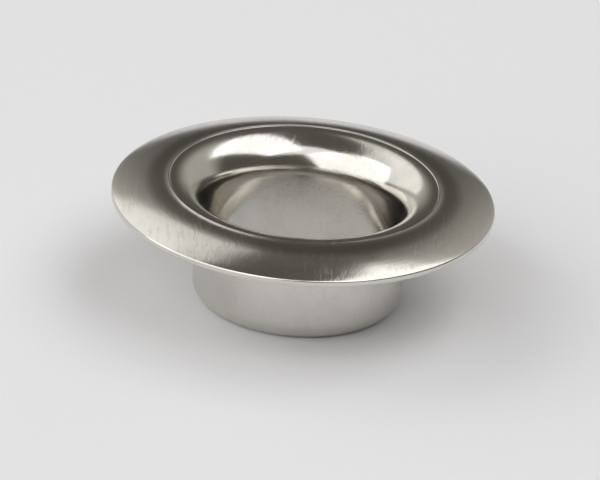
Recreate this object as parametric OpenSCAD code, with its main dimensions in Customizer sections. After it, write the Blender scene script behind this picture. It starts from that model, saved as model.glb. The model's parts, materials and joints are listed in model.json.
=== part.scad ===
// One-piece grommet eyelet, drawn and pierced from a single disc of sheet.
// Sizes in mm. The barrel stands on its free end at z = 0, and the face is up.
// The sheet is an equal thickness from the pierced end to the trimmed edge.

/* [Sheet] */
// Thickness of the sheet
sheet_t = 0.35; // [0.25:0.05:0.5]

/* [Barrel] */
// Bore through the barrel, across
bore_d = 10; // [8:0.5:11]
// Free end to the top of the crest
overall_h = 6.4; // [5.5:0.1:9]
// Outside radius of the curled-in free end
nose_r = 0.85; // [0.7:0.05:1.3]
// Width of the flat ring left inside the curl
end_flat_w = 0.3; // [0.2:0.05:0.6]

/* [Lip and crown] */
// Radius under the lip, where the flange leaves the barrel
lip_r = 1.35; // [1:0.05:1.8]
// Width of the crown, as a share of the flange outside the crest
crown_share = 0.27; // [0.15:0.01:0.4]
// Slope of the crown where it meets the crease
crown_slope = 17; // [13:1:24]

/* [Rim] */
// Outside diameter of the flange
flange_d = 19.6; // [17:0.1:24]
// Mean slope of the rim, down and outwards
rim_slope = 19; // [14:0.5:23]
// Turn of the rim, from the crease to the edge
rim_turn = 16; // [10:1:22]

/* [Colour] */
// Nickel plate
nickel = "#B9B3A6"; // color

/* [Hidden] */

// Steps round the flange, a tight bend and a wide one
turn_steps = 64;
bend_steps = 60;
dome_steps = 180;

bore_r = bore_d / 2;
barrel_r = bore_r + sheet_t;
flange_r = flange_d / 2;

// Centres of the two tight bends, and the edge of the pierced end
nose_at = [barrel_r - nose_r, nose_r];
lip_at = [barrel_r + lip_r, overall_h - sheet_t - lip_r];
end_r = nose_at.x - end_flat_w;

// The crown is a dome about a point straight below the crest
crest_r = lip_at.x;
crown_w = crown_share * (flange_r - crest_r);
crown_r = crown_w / sin(crown_slope);
crown_at = [crest_r, overall_h - crown_r];
crease_at = crown_at + crown_r * [sin(crown_slope), cos(crown_slope)];

// The rim is a wider dome through the crease and the top of the edge
rim_w = flange_r - crease_at.x;
half_chord = rim_w / cos(rim_slope) / 2;
rim_r = half_chord / sin(rim_turn / 2);
rim_mid = crease_at + half_chord * [cos(rim_slope), -sin(rim_slope)];
rim_at = rim_mid - rim_r * cos(rim_turn / 2) * [sin(rim_slope), cos(rim_slope)];

// Depth of the slice that the flange is cut from, deeper than the flange drops
flange_depth = 2 * (lip_r + sheet_t);

// A quarter bend of the sheet about a centre, into the given quadrant
module quarter(at, under_r, side) {
  outside_r = under_r + sheet_t;
  translate(at)
    intersection() {
      difference() {
        circle(r = outside_r, $fn = bend_steps);
        circle(r = under_r, $fn = bend_steps);
      }
      polygon([[0, 0], [side.x, 0] * outside_r, side * outside_r, [0, side.y] * outside_r]);
    }
}

// Everything below the crown and the rim, taken down from the face
module flange_below(down) {
  translate(crown_at)
    circle(r = crown_r - down, $fn = dome_steps);
  translate(rim_at)
    circle(r = rim_r - down, $fn = dome_steps);
}

module flange_section() {
  difference() {
    intersection() {
      flange_below(0);
      translate([crest_r, overall_h - flange_depth])
        square([flange_r - crest_r, flange_depth]);
    }
    flange_below(sheet_t);
  }
}

module barrel_section() {
  translate([end_r, 0])
    square([end_flat_w, sheet_t]);
  quarter(nose_at, nose_r - sheet_t, [1, -1]);
  translate([bore_r, nose_at.y])
    square([sheet_t, lip_at.y - nose_at.y]);
  quarter(lip_at, lip_r, [-1, 1]);
}

module eyelet() {
  color(nickel)
    rotate_extrude($fn = turn_steps) {
      barrel_section();
      flange_section();
    }
}

eyelet();
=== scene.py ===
"""Grommet eyelet: a drawn one-piece eyelet in nickel plate, on a pale studio floor."""
import json
import math

import bmesh
import bpy
from mathutils import Matrix, Vector


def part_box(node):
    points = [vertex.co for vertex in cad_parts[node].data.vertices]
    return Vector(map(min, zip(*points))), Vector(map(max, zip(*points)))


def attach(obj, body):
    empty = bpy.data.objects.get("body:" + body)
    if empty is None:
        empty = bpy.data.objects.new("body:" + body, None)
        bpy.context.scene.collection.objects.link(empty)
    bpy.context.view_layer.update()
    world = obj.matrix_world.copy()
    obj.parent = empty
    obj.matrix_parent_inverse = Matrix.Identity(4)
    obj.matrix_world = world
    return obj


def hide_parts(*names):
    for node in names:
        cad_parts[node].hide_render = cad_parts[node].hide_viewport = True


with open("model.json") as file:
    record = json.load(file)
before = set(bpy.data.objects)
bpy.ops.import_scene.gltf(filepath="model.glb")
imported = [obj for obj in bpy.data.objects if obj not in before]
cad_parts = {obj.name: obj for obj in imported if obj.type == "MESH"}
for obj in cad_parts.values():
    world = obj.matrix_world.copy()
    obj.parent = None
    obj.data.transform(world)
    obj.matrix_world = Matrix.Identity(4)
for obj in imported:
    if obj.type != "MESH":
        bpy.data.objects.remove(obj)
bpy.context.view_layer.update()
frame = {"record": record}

bl_info = {
    "name": "Grommet Eyelet",
    "version": (1, 0, 0),
    "blender": (4, 5, 0),
    "location": "3D View > Sidebar > Eyelet",
    "description": "Builds a drawn one-piece grommet eyelet and a plain studio for it",
    "category": "Object",
}

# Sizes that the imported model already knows
NODE = "eyelet"
LOW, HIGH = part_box(NODE)
MM = 0.001
ROUND_MOUNTS = {m["name"]: m["dims"]["r_mm"] * MM for m in frame["record"]["mounts"] if "r_mm" in m["dims"]}
BORE_R = ROUND_MOUNTS["bore"]
BARREL_R = ROUND_MOUNTS["barrel"]

TURN_STEPS = 288
LAMP_DISTANCE = 0.9


def length(name, about, default):
    """A length in metres, shown in the user's own unit."""
    return bpy.props.FloatProperty(
        name=name, description=about, default=default, min=0.0, precision=6, unit="LENGTH", subtype="DISTANCE"
    )


def angle(name, about, degrees):
    """An angle, written here in degrees."""
    return bpy.props.FloatProperty(
        name=name, description=about, default=math.radians(degrees), precision=3, unit="ROTATION", subtype="ANGLE"
    )


def share(name, about, default, top=1.0):
    """A plain number from nought to top."""
    return bpy.props.FloatProperty(
        name=name, description=about, default=default, min=0.0, max=top, precision=4, subtype="FACTOR"
    )


def colour(name, about, default):
    """A linear colour."""
    return bpy.props.FloatVectorProperty(
        name=name, description=about, default=default, min=0.0, max=1.0, size=3, subtype="COLOR"
    )


def radiance(name, about, default):
    """How bright a lamp's face looks, where one is as bright as white paper in the picture."""
    return bpy.props.FloatProperty(name=name, description=about, default=default, min=0.0, soft_max=10.0, precision=3)


class EyeletSizes(bpy.types.PropertyGroup):
    """Sizes of the drawn sheet: the main ones are the solid's own, the bends are as measured."""

    sheet: length("Sheet", "Thickness of the sheet", BARREL_R - BORE_R)
    bore_radius: length("Bore radius", "Radius inside the barrel", BORE_R)
    height: length("Height", "Free end to the top of the crest", HIGH.z - LOW.z)
    flange_radius: length("Flange radius", "Outside radius of the flange", (HIGH.x - LOW.x) / 2)
    nose_radius: length("Nose radius", "Outside radius of the curled-in free end", 0.85 * MM)
    end_flat: length("End flat", "Width of the flat ring inside the curl", 0.3 * MM)
    lip_radius: length("Lip radius", "Radius under the lip", 1.6 * MM)
    crown_share: share("Crown share", "Width of the crown, as a share of the flange outside the crest", 0.22)
    crown_slope: angle("Crown slope", "Slope of the crown at the crease", 21.0)
    rim_slope: angle("Rim slope", "Mean slope of the rim", 17.5)
    rim_turn: angle("Rim turn", "Turn of the rim from crease to edge", 12.0)
    edge_round: length("Edge round", "Rounding of the trimmed edge", 0.11 * MM)
    crease_round: length("Crease round", "Radius in the crease", 0.5 * MM)
    pierced_round: length("Pierced round", "Rounding at the pierced end", 0.045 * MM)


class NickelFinish(bpy.types.PropertyGroup):
    """Look of the nickel plate."""

    plate: colour("Plate", "Colour of clean nickel plate", (0.70, 0.68, 0.64))
    # This dulled colour is also the painted shade in the ring round the crease.
    dull_and_crease_shade: colour("Handled", "Colour where the plate has dulled", (0.40, 0.385, 0.34))
    face_satin: share("Face satin", "Roughness of the face of the flange", 0.16)
    barrel_polish: share("Barrel polish", "Roughness of the drawn barrel", 0.13)
    scratch_depth: length("Scratch depth", "Depth of the fine tumbling scratches", 0.0012 * MM)
    draw_depth: length("Draw mark depth", "Depth of the draw marks up the barrel", 0.0010 * MM)
    peel_depth: length("Surface ripple", "Depth of the ripple under the plate", 0.0025 * MM)


class StudioLook(bpy.types.PropertyGroup):
    """Floor, lamps, surroundings and camera."""

    floor: colour("Floor", "Colour of the floor", (0.84, 0.845, 0.87))
    room: colour("Room", "Colour of the dim room in front and overhead", (0.10, 0.09, 0.08))
    wall: colour("Wall", "Colour of the paler walls behind, to the left and right", (0.46, 0.45, 0.42))
    lamp: colour("Lamp", "Colour of the soft lamps", (1.0, 0.995, 0.98))
    left_radiance: radiance("Left lamp", "Brightness of the left lamp's face", 1.4)
    rear_radiance: radiance("Rear left lamp", "Brightness of the face of the lamp behind on the left", 0.7)
    front_radiance: radiance("Front lamp", "Brightness of the face of the lamp above the camera", 1.0)
    right_radiance: radiance("Right lamp", "Brightness of the face of the lamp up on the right", 1.5)
    elevation: angle("Elevation", "Camera height above the floor, as an angle", 25.4)
    roll: angle("Roll", "Turn of the camera about its own line of sight", 4.4)
    distance: length("Distance", "Camera to the middle of the eyelet", 0.60)
    framing: share("Framing", "Flange width as a share of the picture's width", 0.64)


# Section of the sheet


def arc(at, radius, start, end, steps):
    """Points on an arc, angles in radians from the +r direction."""
    return [
        Vector((at[0] + radius * math.cos(a), at[1] + radius * math.sin(a)))
        for a in (start + (end - start) * k / steps for k in range(steps + 1))
    ]


def joined(*runs):
    """One line from several, without the points that repeat where they meet."""
    line = []
    for run in runs:
        for p in run:
            if not line or (p - line[-1]).length > 1e-8:
                line.append(p)
    return line


def softened(loop, corner, radius, steps=4):
    """The closed loop with the corner nearest to the given point rounded off."""
    i = min(range(len(loop)), key=lambda k: (loop[k] - corner).length)
    here, before, after = loop[i], loop[i - 1], loop[(i + 1) % len(loop)]
    a, b = (before - here).normalized(), (after - here).normalized()
    half = a.angle(b) / 2
    cut = min(radius / math.tan(half), (before - here).length * 0.95, (after - here).length * 0.95)
    r = cut * math.tan(half)
    centre = here + (a + b).normalized() * (r / math.sin(half))
    p, q = here + a * cut - centre, here + b * cut - centre
    turn = p.angle_signed(q)
    bend = [centre + Matrix.Rotation(-turn * k / steps, 2) @ p for k in range(steps + 1)]
    return loop[:i] + bend + loop[i + 1:]


def sheet_loop(s):
    """The section as one closed loop of (radius, height), pierced end first, face side outwards."""
    t = s.sheet
    barrel_r = s.bore_radius + t
    quarter = math.pi / 2
    nose = (barrel_r - s.nose_radius, s.nose_radius)
    lip = (barrel_r + s.lip_radius, s.height - t - s.lip_radius)
    end_r = nose[0] - s.end_flat
    crown_w = s.crown_share * (s.flange_radius - lip[0])
    crown_r = crown_w / math.sin(s.crown_slope)
    crown = (lip[0], s.height - crown_r)
    crease = Vector(crown) + crown_r * Vector((math.sin(s.crown_slope), math.cos(s.crown_slope)))
    half_chord = (s.flange_radius - crease.x) / math.cos(s.rim_slope) / 2
    rim_r = half_chord / math.sin(s.rim_turn / 2)
    middle = crease + half_chord * Vector((math.cos(s.rim_slope), -math.sin(s.rim_slope)))
    down = Vector((math.sin(s.rim_slope), math.cos(s.rim_slope)))
    rim = middle - rim_r * math.cos(s.rim_turn / 2) * down

    def meet(drop):
        """Where the two domes cross, and where the rim is trimmed, this far under the face."""
        ra, rb = crown_r - drop, rim_r - drop
        to_rim = rim - Vector(crown)
        d = to_rim.length
        along = (ra * ra - rb * rb + d * d) / (2 * d)
        side = math.sqrt(ra * ra - along * along)
        base = Vector(crown) + to_rim * (along / d)
        cross = Vector((-to_rim.y, to_rim.x)) * (side / d)
        crossing = max(base + cross, base - cross, key=lambda p: p.y)
        trimmed = Vector((s.flange_radius, rim.y + math.sqrt(rb * rb - (s.flange_radius - rim.x) ** 2)))
        return crossing, trimmed

    def flange(drop):
        """Crown and rim, from the crest outwards."""
        crossing, trimmed = meet(drop)
        on_crown, on_rim, off_rim = crossing - Vector(crown), crossing - rim, trimmed - rim
        return joined(
            arc(crown, crown_r - drop, quarter, math.atan2(on_crown.y, on_crown.x), 9),
            arc(rim, rim_r - drop, math.atan2(on_rim.y, on_rim.x), math.atan2(off_rim.y, off_rim.x), 9),
        ), crossing, trimmed

    face, face_crease, face_edge = flange(0.0)
    under, under_crease, under_edge = flange(t)
    wall_steps = 12
    wall = [lip[1] + (nose[1] - lip[1]) * k / wall_steps for k in range(wall_steps + 1)]
    loop = joined(
        [Vector((end_r, t))],
        arc(nose, s.nose_radius - t, -quarter, 0.0, 14),
        [Vector((s.bore_radius, z)) for z in reversed(wall)],
        arc(lip, s.lip_radius + t, math.pi, quarter, 24),
        face,
        reversed(under),
        arc(lip, s.lip_radius, quarter, math.pi, 20),
        [Vector((barrel_r, z)) for z in wall],
        arc(nose, s.nose_radius, 0.0, -quarter, 18),
        [Vector((end_r, 0.0))],
    )
    for corner, radius in (
        (face_edge, s.edge_round),
        (under_edge, s.edge_round),
        (face_crease, s.crease_round),
        (under_crease, s.crease_round),
        (Vector((end_r, t)), s.pierced_round),
        (Vector((end_r, 0.0)), s.pierced_round),
    ):
        loop = softened(loop, corner, radius)
    return loop


def turned(name, loop):
    """A closed mesh from a section turned round the Z axis."""
    work = bmesh.new()
    rings = []
    for k in range(TURN_STEPS):
        a = 2 * math.pi * k / TURN_STEPS
        c, s = math.cos(a), math.sin(a)
        rings.append([work.verts.new((p.x * c, p.x * s, p.y)) for p in loop])
    count = len(loop)
    for k in range(TURN_STEPS):
        here, there = rings[k], rings[(k + 1) % TURN_STEPS]
        for i in range(count):
            j = (i + 1) % count
            work.faces.new((here[i], here[j], there[j], there[i])).smooth = True
    bmesh.ops.recalc_face_normals(work, faces=work.faces)
    mesh = bpy.data.meshes.new(name)
    work.to_mesh(mesh)
    work.free()
    made = bpy.data.objects.new(name, mesh)
    bpy.context.scene.collection.objects.link(made)
    return made


# Materials


class Nodes:
    """Short calls for building a node tree."""

    def __init__(self, tree):
        self.tree = tree
        tree.nodes.clear()

    def add(self, kind, *inputs, **settings):
        """A node with its settings, its inputs given in order as links, numbers or None."""
        node = self.tree.nodes.new(kind)
        for key, value in settings.items():
            setattr(node, key, value)
        for socket, value in zip(node.inputs, inputs):
            self.put(socket, value)
        return node

    def put(self, socket, value):
        """Links or sets one socket."""
        if isinstance(value, bpy.types.NodeSocket):
            self.tree.links.new(value, socket)
        elif value is not None:
            socket.default_value = value

    def math(self, kind, a, b=None, c=None):
        """A maths node's result."""
        return self.add("ShaderNodeMath", a, b, c, operation=kind).outputs[0]

    def between(self, value, low, high, to_low=0.0, to_high=1.0):
        """value mapped smoothly from one range to another, and held there."""
        node = self.add("ShaderNodeMapRange", value, low, high, to_low, to_high, interpolation_type="SMOOTHSTEP")
        return node.outputs[0]

    def noise(self, place, scale, detail=2.0, rough=0.5, dims="3D"):
        """A noise texture's factor."""
        node = self.add("ShaderNodeTexNoise", noise_dimensions=dims)
        self.put(node.inputs["Vector" if dims == "3D" else "W"], place)
        node.inputs["Scale"].default_value = scale
        node.inputs["Detail"].default_value = detail
        node.inputs["Roughness"].default_value = rough
        return node.outputs[0]


def scratches(n, place, turn, fine, stretch):
    """Straight hairline scratches in one direction, as a height from nought to one."""
    turned_place = n.add("ShaderNodeMapping", place, None, (0.0, 0.0, turn), (1.0, stretch, 1.0)).outputs[0]
    streak = n.noise(turned_place, fine, detail=1.0)
    return n.between(streak, 0.60, 0.74)


def nickel_material(f, s):
    """Nickel plate: satin and finely scratched on the face, with painted shade round the crease, brighter and drawn on
    the barrel.
    """
    material = bpy.data.materials.new("nickel_plate")
    material.use_nodes = True
    n = Nodes(material.node_tree)
    place = n.add("ShaderNodeTexCoord").outputs["Object"]
    split = n.add("ShaderNodeSeparateXYZ", place)
    x, y, z = split.outputs
    radius = n.math("SQRT", n.math("ADD", n.math("MULTIPLY", x, x), n.math("MULTIPLY", y, y)))
    around = n.math("ARCTAN2", y, x)

    # One where the sheet is flange, nought where it is barrel
    on_flange = n.between(radius, s.bore_radius + 1.2 * s.sheet, s.bore_radius + s.sheet + s.lip_radius)

    # Fine scratches from tumbling, in several directions
    hair = n.math(
        "MAXIMUM",
        n.math("MAXIMUM", scratches(n, place, 0.3, 5200.0, 0.05), scratches(n, place, 1.25, 4300.0, 0.04)),
        n.math("MAXIMUM", scratches(n, place, 2.1, 6100.0, 0.06), scratches(n, place, 2.8, 3700.0, 0.05)),
    )
    patchy = n.between(n.noise(place, 260.0), 0.42, 0.66)
    hair = n.math("MULTIPLY", hair, n.math("MULTIPLY_ADD", patchy, 0.6, 0.4))

    # Draw marks run up the barrel: they change with the angle only
    wheel = n.add("ShaderNodeCombineXYZ", n.math("COSINE", around), n.math("SINE", around), n.math("MULTIPLY", z, 30.0))
    drawn = n.noise(wheel.outputs[0], 26.0, detail=5.0, rough=0.7)
    drawn = n.math("MULTIPLY", drawn, n.math("SUBTRACT", 1.0, on_flange))

    # Die marks go round the face: they change with the radius only
    ringed = n.noise(n.math("MULTIPLY", radius, 1000.0), 5.5, detail=3.0, rough=0.6, dims="1D")
    ringed = n.math("MULTIPLY", ringed, on_flange)

    ripple = n.noise(place, 900.0, detail=3.0)

    # Painted shade in a ring round the crease, with random dulling in clouds and along the scratches
    crease_at = s.bore_radius + s.sheet + s.lip_radius
    crease_at += s.crown_share * (s.flange_radius - crease_at)
    off_crease = n.math("ABSOLUTE", n.math("SUBTRACT", radius, crease_at))
    # Painted shade: full within 0.1 mm of the crease ring, fading to nothing 0.7 mm away
    crease_shade = n.between(off_crease, 0.1 * MM, 0.7 * MM, 1.0, 0.0)
    cloud = n.between(n.noise(place, 420.0, detail=4.0, rough=0.62), 0.40, 0.72)
    dulling_and_crease_shade = n.math("MULTIPLY_ADD", crease_shade, 0.75, n.math("MULTIPLY", cloud, 0.18))
    dulling_and_crease_shade = n.math("MINIMUM", n.math("ADD", dulling_and_crease_shade, n.math("MULTIPLY", hair, 0.10)), 1.0)
    # Mixes the plate towards the dulled colour: painted crease shade plus random and scratch dulling
    tint = n.add("ShaderNodeMix", data_type="RGBA")
    n.put(tint.inputs[0], dulling_and_crease_shade)
    tint.inputs[6].default_value = (*f.plate, 1.0)
    tint.inputs[7].default_value = (*f.dull_and_crease_shade, 1.0)

    rough = n.between(on_flange, 0.0, 1.0, f.barrel_polish, f.face_satin)
    rough = n.math("MULTIPLY_ADD", cloud, 0.05, rough)
    rough = n.math("MULTIPLY_ADD", hair, 0.06, rough)

    # Heights in metres, added up and pushed along the surface normal
    height = n.math("MULTIPLY", ripple, f.peel_depth)
    height = n.math("MULTIPLY_ADD", hair, -f.scratch_depth, height)
    height = n.math("MULTIPLY_ADD", drawn, f.draw_depth, height)
    height = n.math("MULTIPLY_ADD", ringed, f.draw_depth, height)
    bump = n.add("ShaderNodeBump")
    bump.inputs["Strength"].default_value = 1.0
    bump.inputs["Distance"].default_value = 1.0
    n.put(bump.inputs["Height"], height)

    shader = n.add("ShaderNodeBsdfPrincipled")
    n.put(shader.inputs["Base Color"], tint.outputs[2])
    shader.inputs["Metallic"].default_value = 1.0
    n.put(shader.inputs["Roughness"], rough)
    n.put(shader.inputs["Normal"], bump.outputs[0])
    n.add("ShaderNodeOutputMaterial", shader.outputs[0])
    return material


def floor_material(look):
    """Matt pale paper with a faint tooth."""
    material = bpy.data.materials.new("studio_paper")
    material.use_nodes = True
    n = Nodes(material.node_tree)
    place = n.add("ShaderNodeTexCoord").outputs["Object"]
    tooth = n.noise(place, 900.0, detail=3.0)
    bump = n.add("ShaderNodeBump")
    bump.inputs["Distance"].default_value = 0.00002
    n.put(bump.inputs["Height"], tooth)
    shader = n.add("ShaderNodeBsdfPrincipled")
    shader.inputs["Base Color"].default_value = (*look.floor, 1.0)
    shader.inputs["Roughness"].default_value = 0.85
    shader.inputs["Specular IOR Level"].default_value = 0.25
    n.put(shader.inputs["Normal"], bump.outputs[0])
    n.add("ShaderNodeOutputMaterial", shader.outputs[0])
    return material


# Studio


def soft_lamp(name, azimuth, elevation, across, upright, brightness, tint):
    """A soft lamp that faces the eyelet: where it stands and how wide it looks from there, in degrees."""
    data = bpy.data.lights.new(name, "AREA")
    data.shape = "RECTANGLE"
    data.size = 2 * LAMP_DISTANCE * math.tan(math.radians(across) / 2)
    data.size_y = 2 * LAMP_DISTANCE * math.tan(math.radians(upright) / 2)
    data.energy = brightness * math.pi * data.size * data.size_y
    data.color = tint
    lamp = bpy.data.objects.new(name, data)
    a, e = math.radians(azimuth), math.radians(elevation)
    away = Vector((math.sin(a) * math.cos(e), -math.cos(a) * math.cos(e), math.sin(e)))
    lamp.location = away * LAMP_DISTANCE
    lamp.rotation_euler = (-away).to_track_quat("-Z", "Y").to_euler()
    bpy.context.scene.collection.objects.link(lamp)
    return lamp


def set_room(look):
    """The room round the studio: dim, with a paler wall behind on each side of a dark gap."""
    world = bpy.data.worlds.new("studio_room")
    bpy.context.scene.world = world
    world.use_nodes = True
    n = Nodes(world.node_tree)
    way = n.add("ShaderNodeTexCoord").outputs["Generated"]
    x, y, z = n.add("ShaderNodeSeparateXYZ", way).outputs
    beside = n.between(n.math("ABSOLUTE", x), 0.12, 0.42)
    behind = n.between(y, 0.15, 0.55)
    low = n.between(z, 0.72, 0.95, 1.0, 0.0)
    wall = n.math("MULTIPLY", beside, n.math("MULTIPLY", behind, low))
    tone = n.add("ShaderNodeMix", data_type="RGBA")
    n.put(tone.inputs[0], wall)
    tone.inputs[6].default_value = (*look.room, 1.0)
    tone.inputs[7].default_value = (*look.wall, 1.0)
    background = n.add("ShaderNodeBackground", tone.outputs[2])
    n.add("ShaderNodeOutputWorld", background.outputs[0])


class EYELET_OT_set_camera(bpy.types.Operator):
    """Puts the camera where the photograph was taken from"""

    bl_idname = "eyelet.set_camera"
    bl_label = "Set Camera"

    def execute(self, context):
        look = context.scene.studio_look
        data = bpy.data.cameras.new("studio_camera")
        camera = bpy.data.objects.new("studio_camera", data)
        context.scene.collection.objects.link(camera)
        context.scene.camera = camera
        e = look.elevation
        back = Vector((0.0, -math.cos(e), math.sin(e)))
        target = Vector((0.0, 0.0, (LOW.z + HIGH.z) / 2))
        camera.location = target + back * look.distance
        turn = (-back).to_track_quat("-Z", "Y").to_matrix().to_4x4()
        camera.rotation_euler = (turn @ Matrix.Rotation(look.roll, 4, "Z")).to_euler()
        across = (HIGH.x - LOW.x) / look.framing
        data.lens = data.sensor_width * look.distance / across
        data.clip_start, data.clip_end = 0.01, 20.0
        return {"FINISHED"}


class EYELET_OT_build_eyelet(bpy.types.Operator):
    """Turns the drawn sheet from its section and plates it"""

    bl_idname = "eyelet.build_eyelet"
    bl_label = "Build Eyelet"

    def execute(self, context):
        scene = context.scene
        made = turned("drawn_eyelet", sheet_loop(scene.eyelet_sizes))
        made.data.materials.append(nickel_material(scene.nickel_finish, scene.eyelet_sizes))
        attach(made, "root")
        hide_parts(NODE)
        return {"FINISHED"}


class EYELET_OT_set_stage(bpy.types.Operator):
    """Lays the pale floor and hangs the soft lamps"""

    bl_idname = "eyelet.set_stage"
    bl_label = "Set Stage"

    def execute(self, context):
        look = context.scene.studio_look
        set_room(look)
        half = 1.5
        mesh = bpy.data.meshes.new("studio_floor")
        mesh.from_pydata([(-half, -half, 0), (half, -half, 0), (half, half, 0), (-half, half, 0)], [], [(0, 1, 2, 3)])
        floor = bpy.data.objects.new("studio_floor", mesh)
        context.scene.collection.objects.link(floor)
        mesh.materials.append(floor_material(look))
        soft_lamp("left_softbox", -56.0, 30.0, 86.0, 56.0, look.left_radiance, look.lamp)
        soft_lamp("rear_left_softbox", -125.0, 38.0, 56.0, 50.0, look.rear_radiance, look.lamp)
        soft_lamp("front_softbox", 5.0, 56.0, 60.0, 26.0, look.front_radiance, look.lamp)
        soft_lamp("right_softbox", 85.0, 62.0, 68.0, 38.0, look.right_radiance, look.lamp)
        return {"FINISHED"}


class EYELET_PT_panel(bpy.types.Panel):
    """Sidebar panel for the eyelet"""

    bl_label = "Eyelet"
    bl_idname = "EYELET_PT_panel"
    bl_space_type = "VIEW_3D"
    bl_region_type = "UI"
    bl_category = "Eyelet"

    def draw(self, context):
        layout = self.layout
        for step in STEPS:
            layout.operator(step.bl_idname)
        for group in (context.scene.eyelet_sizes, context.scene.nickel_finish, context.scene.studio_look):
            box = layout.box()
            for key in group.bl_rna.properties.keys():
                if key not in ("rna_type", "name"):
                    box.prop(group, key)


GROUPS = {"eyelet_sizes": EyeletSizes, "nickel_finish": NickelFinish, "studio_look": StudioLook}
STEPS = (EYELET_OT_set_camera, EYELET_OT_build_eyelet, EYELET_OT_set_stage)


def register():
    for key, group in GROUPS.items():
        bpy.utils.register_class(group)
        setattr(bpy.types.Scene, key, bpy.props.PointerProperty(type=group))
    for step in STEPS:
        bpy.utils.register_class(step)
    bpy.utils.register_class(EYELET_PT_panel)


def unregister():
    bpy.utils.unregister_class(EYELET_PT_panel)
    for step in reversed(STEPS):
        bpy.utils.unregister_class(step)
    for key, group in reversed(GROUPS.items()):
        delattr(bpy.types.Scene, key)
        bpy.utils.unregister_class(group)


def main():
    register()
    bpy.context.scene.view_settings.view_transform = "Standard"
    bpy.ops.eyelet.set_camera()
    bpy.ops.eyelet.build_eyelet()
    bpy.ops.eyelet.set_stage()


if __name__ == "__main__":
    main()
